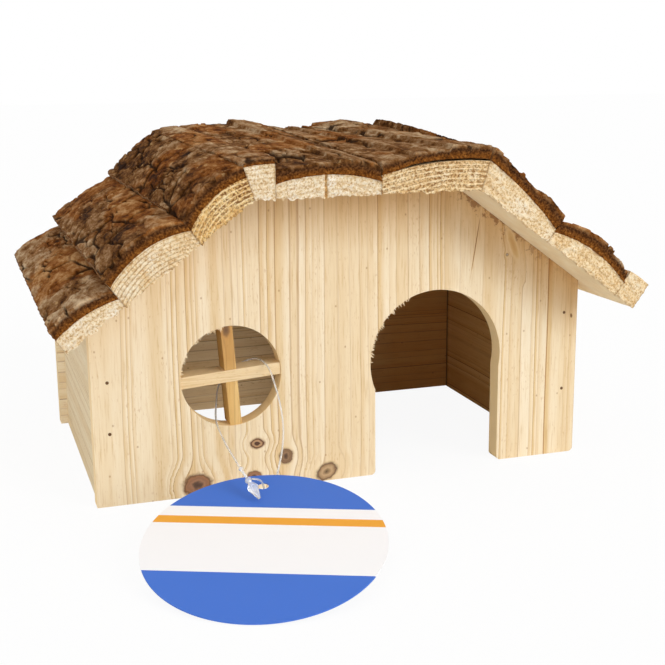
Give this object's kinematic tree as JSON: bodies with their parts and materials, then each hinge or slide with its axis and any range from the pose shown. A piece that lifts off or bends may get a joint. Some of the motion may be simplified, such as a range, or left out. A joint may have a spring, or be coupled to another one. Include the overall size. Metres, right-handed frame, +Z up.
{
  "type": "small animal house",
  "caption": "Small wooden pet house with a round barred window, an arched doorway, an open bottom and a folded roof of bark-covered boards, with a round card tag on a nylon loop.",
  "frame": {"origin": "on the floor under the middle of the house", "axes": "+X to the right seen from the front, +Y to the back, +Z up; the doorway faces -Y"},
  "size_m": [0.2565, 0.2883, 0.1491],
  "materials": {
    "spruce": "planed bare spruce",
    "log_wood": "rough sawn log wood",
    "bark": "rough natural bark",
    "nail_steel": "plain wire",
    "tag_card": "smooth printed card",
    "loop_nylon": "clear nylon"
  },
  "bodies": {
    "house": {"front_panel": "spruce", "back_panel": "spruce", "left_side_wall": "spruce", "right_side_wall": "spruce", "window_bar_across": "spruce", "window_bar_upright": "spruce", "left_upper_board": "log_wood", "left_middle_board": "log_wood", "left_lower_board": "log_wood", "top_filler_strip": "log_wood", "top_left_board": "log_wood", "top_right_board": "log_wood", "right_upper_board": "log_wood", "right_lower_board": "log_wood", "left_upper_bark": "bark", "left_middle_bark": "bark", "left_lower_bark": "bark", "top_filler_bark": "bark", "top_left_bark": "bark", "top_right_bark": "bark", "right_upper_bark": "bark", "right_lower_bark": "bark", "roof_nails": "nail_steel", "wall_nails": "nail_steel", "tag_lock": "loop_nylon", "tag_loop": "loop_nylon"},
    "tag": {"swing_tag": "tag_card"}
  },
  "joints": [
    {"name": "tag_swing", "type": "hinge", "parent": "house", "child": "tag", "pos_m": [-0.05162, -0.11382, 0.01854], "axis": [-0.0866, -0.2039, 0.9751], "range_deg": [0, 30]}
  ]
}
